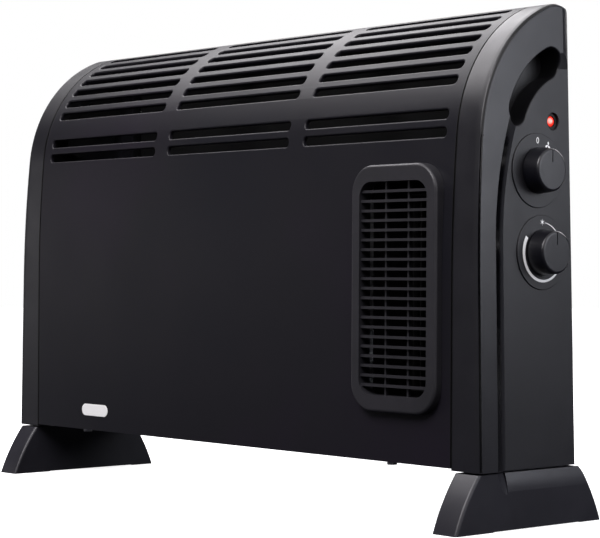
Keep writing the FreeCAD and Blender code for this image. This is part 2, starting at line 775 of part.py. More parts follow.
def round_grip(body, side):
    """The grip's mouth, rounded over where it leaves the cap's outside."""
    half, reach = value("grip_half"), value("grip_radius")
    centre_y, centre_z = value("grip_y"), value("grip_z")
    ends = [math.radians(value(angle)) for angle in ("grip_low", "grip_high")]

    def on_line(point):
        y, z = centre_y - point.y, point.z - centre_z
        angle = min(max(math.atan2(z, y), ends[0]), ends[1])
        gap = math.hypot(y - reach * math.cos(angle), z - reach * math.sin(angle))
        return abs(gap - half) < 0.05 and side * point.x > value("cap_edge - grip_depth + grip_wall")

    def wanted(edge):
        middle = edge.valueAt((edge.FirstParameter + edge.LastParameter) / 2)
        return all(on_line(point) for point in [middle] + [v.Point for v in edge.Vertexes])
    dress(body, "Fillet", "Radius", "grip_round", wanted)


def right_end_cap():
    body = end_cap("right_end_cap", 1)
    holes = sketch(body, "YZ", "recess_x")
    for name in ("selector", "thermostat"):
        circle(holes, f"{name}_y", f"{name}_z", "neck_radius + shaft_gap")
    pocket(holes, "recess_x - selector_x + cap_floor + 2", -1)
    well = sketch(body, "XZ", "lamp_y", ("0", "lamp_z"))
    outline(well, [
        ("lamp_x - cap_floor - 1", "0"), ("lamp_x + 1", "0"),
        ("lamp_x + 1", "lamp_well_radius + lamp_well_round"),
        ("lamp_x", "lamp_well_radius + lamp_well_round", "lamp_well_round", "cw"),
        ("lamp_x - lamp_well_round", "lamp_well_radius"), ("lamp_x - cap_floor - 1", "lamp_well_radius"),
    ])
    revolve(well, kind="Groove")
    return body


def left_end_cap():
    return end_cap("left_end_cap", -1)


def foot(label, side):
    """Flared foot with two pads, cored from below, with a scoop that carries on the cap's sunk side."""
    body = new_body(label)

    def across(text):
        return f"{side} * ({text})"
    slab = sketch(body, "YZ", across("foot_inner"))
    low, high = "foot_bottom_length / 2", "foot_top_length / 2"
    outline(slab, [
        (f"-{low}", "0"), (f"foot_pad_front - {low}", "0"),
        (f"foot_pad_front + foot_pad_step - {low}", "foot_pad_step"),
        (f"{low} - foot_pad_rear - foot_pad_step", "foot_pad_step"),
        (f"{low} - foot_pad_rear", "0"), (low, "0", "foot_bow", "ccw"),
        (high, "foot_height"), (f"-{high}", "foot_height", "foot_bow", "ccw"),
    ])
    pad(slab, "foot_outer - foot_inner", side)

    def upright(edge):
        box = edge.BoundBox
        return box.XLength < 0.01 and box.ZLength > value("foot_height") - 0.01
    dress(body, "Fillet", "Radius", "foot_round", upright)
    sections = []
    low = "foot_height - foot_scoop_height"
    turn = "cw" if side > 0 else "ccw"
    front, back = "recess_y - 0.66 * recess_step", "recess_y + 0.34 * recess_step"
    for y, depth in ((front, "-0.05"), (back, "recess_depth - 1")):
        scoop = sketch(body, "XZ", y)
        sections.append(outline(scoop, [
            (across(f"foot_outer - {depth}"), "foot_height + 1", "foot_scoop_bend", turn),
            (across("foot_outer + 0.1"), low), (across("foot_outer + 5"), low),
            (across("foot_outer + 5"), "foot_height + 1"),
        ]))
    loft_cut(sections)
    rest = sketch(body, "XZ", back)
    outline(rest, [
        (across("foot_outer - recess_depth + 1"), "foot_height + 1", "foot_scoop_bend", turn),
        (across("foot_outer + 0.1"), low), (across("foot_outer + 5"), low),
        (across("foot_outer + 5"), "foot_height + 1"),
    ])
    pocket(rest, "casing_depth")
    spigot = sketch(body, "XY", "foot_height")
    rectangle(spigot, across("foot_inner + 5"), "-foot_top_length / 2 + 8",
              across("foot_outer - 8"), "foot_top_length / 2 - 8")
    pad(spigot, "cap_bottom - foot_height")
    core = sketch(body, "XY", "0")
    rounded(core, across("foot_middle"), "0", "foot_outer - foot_inner - 2 * foot_core_wall",
            "foot_core_length", "3")
    pocket(core, "foot_core_ceiling", 1)
    holes = sketch(body, "XY", "foot_core_ceiling - 1")
    for y in ("-foot_screw_spacing / 2", "foot_screw_spacing / 2"):
        circle(holes, across("foot_middle"), y, "screw_radius + 0.02")
    pocket(holes, "cap_bottom - foot_core_ceiling + 2", 1)
    return body


def screws(label, places, head_top, length):
    """A group of equal pan-head screws, heads down."""
    body = new_body(label)
    heads = sketch(body, "XY", f"{head_top} - screw_head_height")
    for x, y in places:
        circle(heads, x, y, "screw_head_radius")
    pad(heads, "screw_head_height")
    shanks = sketch(body, "XY", head_top)
    for x, y in places:
        circle(shanks, x, y, "screw_radius")
    pad(shanks, length)
    drives = sketch(body, "XY", f"{head_top} - screw_head_height")
    for x, y in places:
        rounded(drives, x, y, "1.1", "4.4", "0.3")
    pocket(drives, "1.2", 1)
    return body


def foot_screws():
    places = []
    for x in ("-foot_middle", "foot_middle"):
        for y in ("-foot_screw_spacing / 2", "foot_screw_spacing / 2"):
            places.append((x, y))
    return screws("foot_screws", places, "foot_core_ceiling", "cap_bottom - foot_core_ceiling + 12")


def panel_screws():
    places = []
    for x in ("-panel_screw_x", "panel_screw_x"):
        for y in ("front_y + panel_screw_inset", "rear_y - panel_screw_inset"):
            places.append((x, y))
    return screws("panel_screws", places, "panel_bottom", "6")


def fan_grille():
    """Raised frame on the front with a spigot through the sheet, cross bars and two posts behind them."""
    body = new_body("fan_grille")
    frame = sketch(body, "XZ", "front_y + 6")
    rounded(frame, "grille_x", "grille_z", "grille_width", "grille_height", "grille_corner")
    pad(frame, "grille_stand + 6", -1)
    dress(body, "Fillet", "Radius", "grille_round", flat_at("Y", "grille_front"))
    seat = sketch(body, "YZ", "grille_x - grille_width")
    outline(seat, profile("0", "cap_bottom"))
    pocket(seat, "2 * grille_width", 1)
    spigot = sketch(body, "XZ", "front_y - 1")
    rounded(spigot, "grille_x", "grille_z", "grille_open_width + 2 * grille_spigot_wall",
            "grille_open_height + 2 * grille_spigot_wall", "grille_open_corner + 0.5")
    pad(spigot, "grille_spigot + 1")
    hole = sketch(body, "XZ", "grille_front - 1")
    rounded(hole, "grille_x", "grille_z", "grille_open_width", "grille_open_height", "grille_open_corner")
    pocket(hole, "grille_stand + grille_spigot + 2")
    bar = sketch(body, "XZ", "bar_front")
    low = "grille_z - (grille_bar_count - 1) * grille_bar_pitch / 2"
    reach = "(grille_open_width / 2 + 0.4)"
    rectangle(bar, f"grille_x - {reach}", f"{low} - grille_bar / 2", f"grille_x + {reach}",
              f"{low} + grille_bar / 2")
    row_of(pad(bar, "grille_bar_depth"), "V_Axis", "grille_bar_count", "grille_bar_pitch")
    post = sketch(body, "XZ", "bar_front + grille_bar_depth - 1")
    for place in ("grille_x - grille_open_width / 6", "grille_x + grille_open_width / 6"):
        rectangle(post, f"{place} - grille_post / 2", "grille_z - grille_open_height / 2 - 0.4",
                  f"{place} + grille_post / 2", "grille_z + grille_open_height / 2 + 0.4")
    pad(post, "3")
    return body


def dial(name):
    """Printed disc round a knob, laid on the cap's sunk side."""
    body = new_body(name + "_dial")
    disc = sketch(body, "YZ", f"{name}_x", (f"{name}_y", f"{name}_z"))
    bind(disc, "AttachmentOffset.Rotation.Axis.x", "1")
    bind(disc, "AttachmentOffset.Rotation.Axis.z", "0")
    bind(disc, "AttachmentOffset.Rotation.Angle", "-cap_lean")
    circle(disc, "0", "0", "dial_radius")
    circle(disc, "0", "0", "neck_radius + 0.5")
    pad(disc, "dial_thick")

    def rim(edge):
        box = edge.BoundBox
        return box.Center.x > value(f"{name}_x + dial_thick / 2") and box.YLength > value("dial_radius")
    dress(body, "Fillet", "Radius", "dial_thick / 2", rim)
    return body


def knob(name):
    """Hollow turned knob with a hub on its shaft and an engraved pointer on the face."""
    body = new_body(name + "_knob")
    turned = sketch(body, "XZ", f"{name}_y", (f"{name}_x + knob_rise", f"{name}_z"))
    outline(turned, [
        ("0", "knob_radius"),
        ("knob_height - 1.8", "knob_top_radius", "2.2", "cw"),
        ("knob_height", "knob_face_radius"),
        ("knob_height", "0"),
        ("knob_height - knob_wall - 2", "0"),
        ("knob_height - knob_wall - 2", "shaft_radius + 0.02"),
        ("1", "shaft_radius + 0.02"),
        ("1", "knob_hub_radius"),
        ("knob_height - knob_wall", "knob_hub_radius"),
        ("knob_height - knob_wall", "knob_top_radius - knob_wall - 0.6"),
        ("0", "knob_radius - knob_wall"),
    ])
    revolve(turned)
    mark = sketch(body, "YZ", f"{name}_x + knob_rise + knob_height", (f"{name}_y", f"{name}_z"))
    rectangle(mark, "-pointer_width / 2", "knob_face_radius - pointer_length", "pointer_width / 2",
              "knob_radius + 1")
    pocket(mark, "pointer_depth", -1)
    return body


def control_seat(name, height):
    """Where a control's front lies: clear of the leaning wall in front of it."""
    return f"({name}_x - cap_floor - {height} / 2 * tan(cap_lean) - 0.05)"


def control(label, name, width, height, depth):
    """Body of a rotary control behind the cap, with a neck through it and a bore for the shaft."""
    body = new_body(label)
    seat = control_seat(name, height)
    y, z = f"{name}_y", f"{name}_z"
    block = sketch(body, "YZ", seat)
    rounded(block, y, z, width, height, "2.5")
    pad(block, depth, -1)
    neck = sketch(body, "YZ", f"{seat} - 1")
    circle(neck, y, z, "neck_radius")
    pad(neck, f"{name}_x + dial_thick - {seat} + 0.8")
    bore = sketch(body, "YZ", f"{name}_x + dial_thick + 1")
    circle(bore, y, z, "shaft_radius + shaft_gap")
    pocket(bore, f"{name}_x + dial_thick + 1 - {seat} + {depth} - 4", -1)
    tags = sketch(body, "YZ", f"{seat} - {depth}")
    for u in (f"{y} - {width} / 4", f"{y} + {width} / 4"):
        for v in (f"{z} - {height} / 3", f"{z} + {height} / 3"):
            rectangle(tags, f"{u} - 3", f"{v} - 0.4", f"{u} + 3", f"{v} + 0.4")
    pad(tags, "6", -1)
    return body


def shaft(name, height, depth):
    body = new_body(name + "_shaft")
    foot_end = f"{control_seat(name, height)} - {depth} + 4.1"
    rod = sketch(body, "YZ", foot_end)
    circle(rod, f"{name}_y", f"{name}_z", "shaft_radius")
    pad(rod, f"{name}_x + knob_rise + knob_height - knob_wall - 2 - ({foot_end})")
    return body


def pilot_lamp():
    """Holder of the pilot light: a flange behind the cap and a spigot in its hole."""
    body = new_body("pilot_lamp")
    turned = sketch(body, "XZ", "lamp_y", ("lamp_x - cap_floor - 0.2", "lamp_z"))
    outline(turned, [
        ("-16", "lens_radius + 0.05"), ("-16", "lamp_well_radius - 0.4"),
        ("-1.6", "lamp_well_radius - 0.4"), ("-1.6", "lamp_well_radius + 2.5"),
        ("0", "lamp_well_radius + 2.5"), ("0", "lamp_well_radius - 0.05"),
        ("1", "lamp_well_radius - 0.05"), ("1", "lens_radius + 0.05"),
    ])
    revolve(turned)
    return body


def pilot_lens():
    body = new_body("pilot_lens")
    turned = sketch(body, "XZ", "lamp_y", ("lamp_x - lens_set", "lamp_z"))
    outline(turned, [
        ("-lens_length", "0"), ("-lens_length", "lens_radius"),
        ("-2.4", "lens_radius", "lens_radius + 0.6", "cw"), ("0", "0"),
    ])
    revolve(turned)
    return body


def heat_shield():
    """Reflector sheet between the elements and the back, standing on a folded foot."""
    body = new_body("heat_shield")
    plate = sketch(body, "XZ", "shield_y")
    rectangle(plate, "shield_left", "deck_z", "shield_right", "deck_z + shield_height")
    pad(plate, "sheet")
    for z in ("deck_z", "deck_z + shield_height - sheet"):
        fold = sketch(body, "XY", z)
        rectangle(fold, "shield_left", "shield_y - shield_flange", "shield_right", "shield_y")
        pad(fold, "sheet")
    return body


def element_bracket(label, x, way):
    """Bent plate on the reflector that carries the ends of both elements."""
    body = new_body(label)
    plate = sketch(body, "YZ", x)
    rectangle(plate, "element_front_y - fin_depth / 2 - 2", "element_z - bracket_height / 2", "shield_y",
              "element_z + bracket_height / 2")
    for y in ("element_front_y", "element_rear_y"):
        circle(plate, y, "element_z", "element_radius + 0.05")
    pad(plate, "bracket_thick")
    fold = sketch(body, "YZ", f"{x} + bracket_thick" if way > 0 else x)
    rectangle(fold, "shield_y - bracket_thick", "element_z - bracket_height / 2", "shield_y",
              "element_z + bracket_height / 2")
    pad(fold, "bracket_foot", way)
    return body


def heater_element(label, y):
    """Sheathed rod with pressed-on fins."""
    body = new_body(label)
    rod = sketch(body, "YZ", "element_left")
    circle(rod, y, "element_z", "element_radius")
    pad(rod, "element_right - element_left")
    start = "(bracket_left + bracket_right + bracket_thick - (fin_count - 1) * fin_pitch) / 2"
    fin = sketch(body, "YZ", start)
    rounded(fin, y, "element_z", "fin_depth", "fin_height", "3")
    row_of(pad(fin, "fin_thick"), "N_Axis", "fin_count", "fin_pitch")
    return body


def thermal_cutout():
    """Overheat cut-out: a disc thermostat on the reflector above the elements."""
    body = new_body("thermal_cutout")
    cap = sketch(body, "XZ", "shield_y", ("0", "deck_z + shield_height - 60"))
    circle(cap, "0", "0", "8")
    pad(cap, "9", -1)
    ears = sketch(body, "XZ", "shield_y", ("0", "deck_z + shield_height - 60"))
    rounded(ears, "0", "0", "32", "9", "2")
    pad(ears, "1", -1)
    tags = sketch(body, "XZ", "shield_y - 9", ("0", "deck_z + shield_height - 60"))
    for u in ("-4", "4"):
        rectangle(tags, f"{u} - 0.4", "-3", f"{u} + 0.4", "3")
    pad(tags, "6", -1)
    return body


def terminal_block():
    """Three-way block on the reflector where the supply lead and the inner wires meet."""
    body = new_body("terminal_block")
    block = sketch(body, "XZ", "shield_y", ("shield_right - 35", "deck_z + 120"))
    rectangle(block, "-21", "-9", "21", "9")
    pad(block, "13", -1)
    holes = sketch(body, "XZ", "shield_y - 13", ("shield_right - 35", "deck_z + 120"))
    for u in ("-14", "0", "14"):
        for v in ("-4.5", "4.5"):
            circle(holes, u, v, "2")
    pocket(holes, "5")
    entries = sketch(body, "XY", "deck_z + 110", ("shield_right - 35", "shield_y - 6"))
    for u in ("-14", "0", "14"):
        circle(entries, u, "0", "2.2")
    pocket(entries, "20", 1)
    return body


def cord_gland():
    """Inlet bush in the back sheet for a supply lead."""
    body = new_body("cord_gland")
    turned = sketch(body, "XY", "gland_z", ("gland_x", "0"))
    outline(turned, [
        ("gland_bore", "rear_y - 9"), ("gland_bore + 5", "rear_y - 9"), ("gland_bore + 5", "rear_y - sheet"),
        ("gland_bore + 3", "rear_y - sheet"), ("gland_bore + 3", "rear_y"), ("gland_bore + 5", "rear_y"),
        ("gland_bore + 5", "rear_y + 2"), ("gland_bore + 3.5", "rear_y + 3.5"), ("gland_bore", "rear_y + 3.5"),
    ])
    revolve(turned, "V_Axis")
    return body


def fan_plate(label, z, hole):
    """End plate of the blower; the lower one has two legs down to the casing's floor."""
    body = new_body(label)
    plate = sketch(body, "XY", z)
    rectangle(plate, "plate_left", "plate_front", "plate_right", "plate_rear")
    circle(plate, "grille_x", "fan_y", hole)
    pad(plate, "fan_plate")
    return body


def fan_bottom_plate():
    body = fan_plate("fan_bottom_plate", "fan_plate_low", "8")
    legs = sketch(body, "XZ", "plate_front")
    for left, right in (("plate_left", "plate_left + 9"), ("plate_right - 9", "plate_right")):
        rectangle(legs, left, "deck_z", right, "fan_plate_low")
    pad(legs, "fan_plate")
    rear = sketch(body, "XZ", "plate_rear - fan_plate")
    for left, right in (("plate_left", "plate_left + 9"), ("plate_right - 9", "plate_right")):
        rectangle(rear, left, "deck_z", right, "fan_plate_low")
    pad(rear, "fan_plate")
    return body


def fan_top_plate():
    return fan_plate("fan_top_plate", "fan_plate_high", "6")


def fan_scroll():
    """Curved sheet that leads the air round the rotor to the grille."""
    body = new_body("fan_scroll")
    wall = sketch(body, "XY", "plate_low_top", ("grille_x", "fan_y"))
    far, near = "scroll_radius", "(scroll_radius - sheet)"
    outline(wall, [
        ("-scroll_radius", "plate_front - fan_y"),
        ("-scroll_radius", "0", far, "cw"),
        ("0", far, far, "cw"),
        (f"{far} * cos(20)", f"{far} * sin(20)"),
        (f"{near} * cos(20)", f"{near} * sin(20)", near, "ccw"),
        ("0", near, near, "ccw"),
        ("sheet - scroll_radius", "0"),
        ("sheet - scroll_radius", "plate_front - fan_y"),
    ])
    pad(wall, "fan_plate_high - plate_low_top")
    return body


def fan_tongue():
    """Folded strip on the other side of the outlet, close to the rotor."""
    body = new_body("fan_tongue")
    wall = sketch(body, "XY", "plate_low_top", ("grille_x", "fan_y"))
    outline(wall, [
        ("scroll_radius - sheet", "plate_front - fan_y"), ("scroll_radius", "plate_front - fan_y"),
        ("scroll_radius", "-19"), ("28", "-12"), ("27.5", "-12.8"), ("scroll_radius - sheet", "-19.4"),
    ])
    pad(wall, "fan_plate_high - plate_low_top")
    return body


def fan_rotor():
    """Cross-flow rotor: curved blades between two discs, each with a hub on the shaft."""
    body = new_body("fan_rotor")
    ends = ("fan_bottom", "fan_top - fan_disc")
    disc = sketch(body, "XY", ends[0], ("grille_x", "fan_y"))
    circle(disc, "0", "0", "fan_radius")
    pad(disc, "fan_disc")
    blade = sketch(body, "XY", "fan_bottom", ("grille_x", "fan_y"))
    tip, root = "(fan_radius - 0.3)", "(fan_radius - blade_depth)"
    outline(blade, [
        (root, "0", "blade_bend", "cw"), (tip, "2.4"),
        (f"{tip} - 0.2", "2.4 + blade_thick", "blade_bend + blade_thick", "ccw"), (root, "blade_thick"),
    ])
    one = pad(blade, "fan_length")
    ring_of(one, blade, "N_Axis", "fan_blades", "360")
    lid = sketch(body, "XY", ends[1], ("grille_x", "fan_y"))
    circle(lid, "0", "0", "fan_radius")
    pad(lid, "fan_disc")
    for z in (ends[0], "fan_top - 9"):
        hub = sketch(body, "XY", z, ("grille_x", "fan_y"))
        circle(hub, "0", "0", "7")
        pad(hub, "9")
    bore = sketch(body, "XY", "fan_bottom - 1", ("grille_x", "fan_y"))
    circle(bore, "0", "0", "shaft_radius + 0.02")
    pocket(bore, "fan_length + 2", 1)
    return body


def fan_shaft():
    body = new_body("fan_shaft")
    rod = sketch(body, "XY", "motor_bottom - 13", ("grille_x", "fan_y"))
    circle(rod, "0", "0", "shaft_radius")
    pad(rod, "fan_plate_high + 5 - motor_bottom + 13")
    return body


def fan_bush():
    """Flanged bearing bush of the rotor's upper end."""
    body = new_body("fan_bush")
    flange = sketch(body, "XY", "fan_plate_high + fan_plate", ("grille_x", "fan_y"))
    circle(flange, "0", "0", "9")
    pad(flange, "4")
    spigot = sketch(body, "XY", "fan_plate_high", ("grille_x", "fan_y"))
    circle(spigot, "0", "0", "5.95")
    pad(spigot, "fan_plate + 1")
    bore = sketch(body, "XY", "fan_plate_high - 1", ("grille_x", "fan_y"))
    circle(bore, "0", "0", "shaft_radius + shaft_gap")
    pocket(bore, "8", 1)
    return body


def motor_stator():
    """Laminated core of the shaded-pole motor, hung from the lower plate on two spacers."""
    body = new_body("motor_stator")
    core = sketch(body, "XY", "motor_bottom", ("grille_x", "fan_y"))
    half = "motor_width / 2"
    rectangle(core, f"-{half}", f"-{half} + 4", half, "leg_front - fan_y + 11")
    circle(core, "0", "0", "motor_bore")
    rectangle(core, f"-{half} + 10", "leg_front - fan_y - 13", f"{half} - 10", "leg_front - fan_y")
    pad(core, "motor_thick")
    posts = sketch(body, "XY", "motor_top", ("grille_x", "fan_y"))
    for u in (f"-{half} + 5", f"{half} - 5"):
        circle(posts, u, "0", "3.5")
    pad(posts, "fan_plate_low - motor_top")
    return body


def motor_coil():
    """Winding on the core's leg."""
    body = new_body("motor_coil")
    block = sketch(body, "YZ", "grille_x - 15")
    outline(block, [
        ("leg_front - coil_wall", "motor_bottom - coil_wall"),
        ("leg_front + 11 + coil_wall", "motor_bottom - coil_wall"),
        ("leg_front + 11 + coil_wall", "motor_top + coil_wall"),
        ("leg_front - coil_wall", "motor_top + coil_wall"),
    ])
    rectangle(block, "leg_front", "motor_bottom", "leg_front + 11", "motor_top")
    pad(block, "30")
    return body


def motor_rotor():
    body = new_body("motor_rotor")
    drum = sketch(body, "XY", "motor_bottom - 1", ("grille_x", "fan_y"))
    circle(drum, "0", "0", "motor_rotor_radius")
    circle(drum, "0", "0", "shaft_radius + 0.02")
    pad(drum, "motor_thick + 2")
    return body


def motor_bracket():
    """Yoke under the core with the lower bearing."""
    body = new_body("motor_bracket")
    half = "motor_width / 2"
    yoke = sketch(body, "XY", "motor_bottom - 11", ("grille_x", "fan_y"))
    rectangle(yoke, f"-{half}", "-8", half, "8")
    circle(yoke, "0", "0", "shaft_radius + shaft_gap")
    pad(yoke, "3")
    legs = sketch(body, "XY", "motor_bottom - 9", ("grille_x", "fan_y"))
    for left, right in ((f"-{half}", f"-{half} + 8"), (f"{half} - 8", half)):
        rectangle(legs, left, "-8", right, "8")
    pad(legs, "9")
    return body


MAKERS = [
    front_panel, rear_panel, base_plate, right_end_cap, left_end_cap,
    lambda: foot("right_foot", 1),
    lambda: foot("left_foot", -1),
    foot_screws, panel_screws, fan_grille,
    lambda: dial("selector"),
    lambda: dial("thermostat"),
    lambda: knob("selector"),
    lambda: knob("thermostat"),
    lambda: control("selector_switch", "selector", "switch_size", "switch_size", "switch_depth"),
    lambda: control("thermostat_body", "thermostat", "thermostat_width", "thermostat_height",
                    "thermostat_depth"),
    lambda: shaft("selector", "switch_size", "switch_depth"),
    lambda: shaft("thermostat", "thermostat_height", "thermostat_depth"),
    pilot_lamp, pilot_lens, heat_shield,
    lambda: element_bracket("element_bracket_left", "bracket_left", 1),
    lambda: element_bracket("element_bracket_right", "bracket_right", -1),
    lambda: heater_element("heater_element_front", "element_front_y"),
    lambda: heater_element("heater_element_rear", "element_rear_y"),
    thermal_cutout, terminal_block, cord_gland,
    fan_bottom_plate, fan_top_plate, fan_scroll, fan_tongue, fan_rotor, fan_shaft, fan_bush,
    motor_stator, motor_coil, motor_rotor, motor_bracket,
]

bodies = [make() for make in MAKERS]
doc.recompute()

for item in doc.Objects:
    if {"Invalid", "Error"} & set(item.State):
        raise RuntimeError(f"{item.Label} did not build: {item.State}")
os.makedirs("parts", exist_ok=True)
for body in bodies:
    if body.Shape.isNull() or not body.Shape.isValid() or not body.Shape.Solids:
        raise RuntimeError(f"{body.Label} has no valid solid")
    body.Shape.exportStep(f"parts/{body.Label}.step")
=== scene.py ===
"""Convector heater: finishes, printed marks, camera and studio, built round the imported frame."""
import json
import math

import bpy
from mathutils import Matrix, Vector


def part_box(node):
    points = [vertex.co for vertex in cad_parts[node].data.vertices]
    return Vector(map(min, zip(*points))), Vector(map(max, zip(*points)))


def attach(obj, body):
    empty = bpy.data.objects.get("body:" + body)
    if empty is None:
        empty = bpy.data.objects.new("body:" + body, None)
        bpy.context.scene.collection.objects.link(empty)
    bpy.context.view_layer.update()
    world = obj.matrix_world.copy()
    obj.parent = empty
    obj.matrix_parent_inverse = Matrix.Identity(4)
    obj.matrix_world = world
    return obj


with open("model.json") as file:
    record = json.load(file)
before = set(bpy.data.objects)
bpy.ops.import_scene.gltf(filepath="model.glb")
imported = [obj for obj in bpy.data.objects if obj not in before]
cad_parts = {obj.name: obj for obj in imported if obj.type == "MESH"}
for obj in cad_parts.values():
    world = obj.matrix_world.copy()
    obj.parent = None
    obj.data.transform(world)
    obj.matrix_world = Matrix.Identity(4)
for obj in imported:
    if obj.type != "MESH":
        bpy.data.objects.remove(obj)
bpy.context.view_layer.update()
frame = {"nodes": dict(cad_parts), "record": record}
scene = bpy.context.scene
scene.view_settings.view_transform = "Standard"

MM = 0.001
CAP_LEAN = 1.15
CASING_MIDDLE_X = -0.00402
EYE_PLACE = (1.2788, -1.1137, 0.1920)
EYE_TURN_TILT_ROLL = (48.22, 0.06, 0.30)
EYE_LENS = 118.1
FLAT_TO_RIGHT_SIDE = Matrix(((0, 0, 1, 0), (1, 0, 0, 0), (0, 1, 0, 0), (0, 0, 0, 1)))
FLAT_TO_FRONT = Matrix(((1, 0, 0, 0), (0, 0, -1, 0), (0, 1, 0, 0), (0, 0, 0, 1)))


def place_camera():
    """The photograph's eye: place in metres, turn, tilt and roll in degrees."""
    lens = bpy.data.cameras.new("camera")
    lens.lens = EYE_LENS
    lens.sensor_width = 36.0
    lens.sensor_fit = "HORIZONTAL"
    eye = bpy.data.objects.new("camera", lens)
    turn, tilt, roll = (math.radians(angle) for angle in EYE_TURN_TILT_ROLL)
    flat = math.cos(tilt)
    ahead = Vector((-math.sin(turn) * flat, math.cos(turn) * flat, math.sin(tilt)))
    level = Vector((math.cos(turn), math.sin(turn), 0.0))
    above = level.cross(ahead)
    right = level * math.cos(roll) + above * math.sin(roll)
    top = above * math.cos(roll) - level * math.sin(roll)
    eye.matrix_world = Matrix((right, top, -ahead)).transposed().to_4x4()
    eye.location = EYE_PLACE
    scene.collection.objects.link(eye)
    scene.camera = eye


place_camera()


# Finishes

def new_finish(name, colour, roughness=0.5, metallic=0.0, specular=0.5):
    made = bpy.data.materials.new(name)
    made.use_nodes = True
    skin = made.node_tree.nodes["Principled BSDF"]
    skin.inputs["Base Color"].default_value = (*colour, 1.0)
    skin.inputs["Roughness"].default_value = roughness
    skin.inputs["Metallic"].default_value = metallic
    skin.inputs["Specular IOR Level"].default_value = specular
    return made


class Maker:
    """Adds texture nodes to one finish, all on the piece's own coordinates in metres."""

    def __init__(self, made):
        self.tree = made.node_tree
        self.skin = self.tree.nodes["Principled BSDF"]
        self.place = self.add("ShaderNodeTexCoord").outputs["Object"]

    def add(self, kind, **settings):
        node = self.tree.nodes.new(kind)
        for name, value in settings.items():
            setattr(node, name, value)
        return node

    def link(self, source, target):
        self.tree.links.new(source, target)

    def stretched(self, scale):
        mapping = self.add("ShaderNodeMapping")
        mapping.inputs["Scale"].default_value = scale
        self.link(self.place, mapping.inputs["Vector"])
        return mapping.outputs["Vector"]

    def noise(self, scale, detail=2.0, roughness=0.5, place=None):
        node = self.add("ShaderNodeTexNoise")
        node.inputs["Scale"].default_value = scale
        node.inputs["Detail"].default_value = detail
        node.inputs["Roughness"].default_value = roughness
        self.link(place or self.place, node.inputs["Vector"])
        return node.outputs["Fac"]

    def cells(self, scale, output):
        node = self.add("ShaderNodeTexVoronoi")
        node.inputs["Scale"].default_value = scale
        self.link(self.place, node.inputs["Vector"])
        return node.outputs[output]

    def bands(self, scale, direction, distortion):
        node = self.add("ShaderNodeTexWave", wave_type="BANDS", bands_direction=direction)
        node.inputs["Scale"].default_value = scale
        node.inputs["Distortion"].default_value = distortion
        self.link(self.place, node.inputs["Vector"])
        return node.outputs["Fac"]

    def spread(self, source, low, high, start=0.0, end=1.0):
        node = self.add("ShaderNodeMapRange")
        for name, value in (("From Min", start), ("From Max", end), ("To Min", low), ("To Max", high)):
            node.inputs[name].default_value = value
        self.link(source, node.inputs["Value"])
        return node.outputs["Result"]

    def shades(self, source, stops):
        node = self.add("ShaderNodeValToRGB")
        ramp = node.color_ramp
        while len(ramp.elements) < len(stops):
            ramp.elements.new(0.5)
        for element, (position, colour) in zip(ramp.elements, stops):
            element.position = position
            element.color = (*colour, 1.0)
        self.link(source, node.inputs["Fac"])
        return node.outputs["Color"]

    def window(self, source, rise, full, fall, none):
        """0 below rise and above none, 1 from full to fall, with a slope between."""
        stops = zip((rise, full, fall, none), (0, 1, 1, 0))
        return self.shades(source, [(position, (value,) * 3) for position, value in stops])

    def shaded(self, colour, shade):
        """A colour multiplied by a shade."""
        node = self.add("ShaderNodeMix", data_type="RGBA", blend_type="MULTIPLY")
        node.inputs["Factor"].default_value = 1.0
        self.link(colour, node.inputs["A"])
        self.link(shade, node.inputs["B"])
        return node.outputs["Result"]

    def sum(self, first, second, weight):
        """The first value, and the second by its weight."""
        node = self.add("ShaderNodeMath", operation="MULTIPLY_ADD")
        self.link(second, node.inputs[0])
        node.inputs[1].default_value = weight
        self.link(first, node.inputs[2])
        return node.outputs["Value"]

    def pair(self, operation, first, second):
        node = self.add("ShaderNodeMath", operation=operation)
        self.link(first, node.inputs[0])
        self.link(second, node.inputs[1])
        return node.outputs["Value"]

    def times(self, first, second):
        return self.pair("MULTIPLY", first, second)

    def larger(self, first, second):
        return self.pair("MAXIMUM", first, second)

    def distance(self, source, point):
        node = self.add("ShaderNodeVectorMath", operation="DISTANCE")
        self.link(source, node.inputs[0])
        node.inputs[1].default_value = point
        return node.outputs["Value"]

    def axes(self):
        """The place's depth and height, and its distance from the middle of the casing's length."""
        apart = self.add("ShaderNodeSeparateXYZ")
        self.link(self.place, apart.inputs["Vector"])
        aside = self.add("ShaderNodeMath", operation="SUBTRACT")
        self.link(apart.outputs["X"], aside.inputs[0])
        aside.inputs[1].default_value = CASING_MIDDLE_X
        out = self.add("ShaderNodeMath", operation="ABSOLUTE")
        self.link(aside.outputs["Value"], out.inputs[0])
        return apart.outputs["Y"], apart.outputs["Z"], out.outputs["Value"]

    def colour(self, source):
        self.link(source, self.skin.inputs["Base Color"])

    def roughness(self, source):
        self.link(source, self.skin.inputs["Roughness"])

    def relief(self, height, strength, depth):
        node = self.add("ShaderNodeBump")
        node.inputs["Strength"].default_value = strength
        node.inputs["Distance"].default_value = depth
        self.link(height, node.inputs["Height"])
        self.link(node.outputs["Normal"], self.skin.inputs["Normal"])


def painted_shade_mask(at):
    """1 where shade is painted into the paint, which is also duller there: painted shade on the inside of the
    back, where shade falls in the casing, and a painted shadow line on the cut ends beside the caps, in the
    seams.
    """
    depth, height, out = at.axes()
    inside = at.window(at.spread(depth, 0.0, 1.0, 0.0100, 0.0600), 0.20, 0.40, 0.938, 0.944)
    below_top = at.spread(height, 1.0, 0.0, 0.374, 0.378)
    ends = at.spread(out, 0.0, 1.0, 0.2683, 0.2688)
    return at.larger(at.times(inside, below_top), ends)


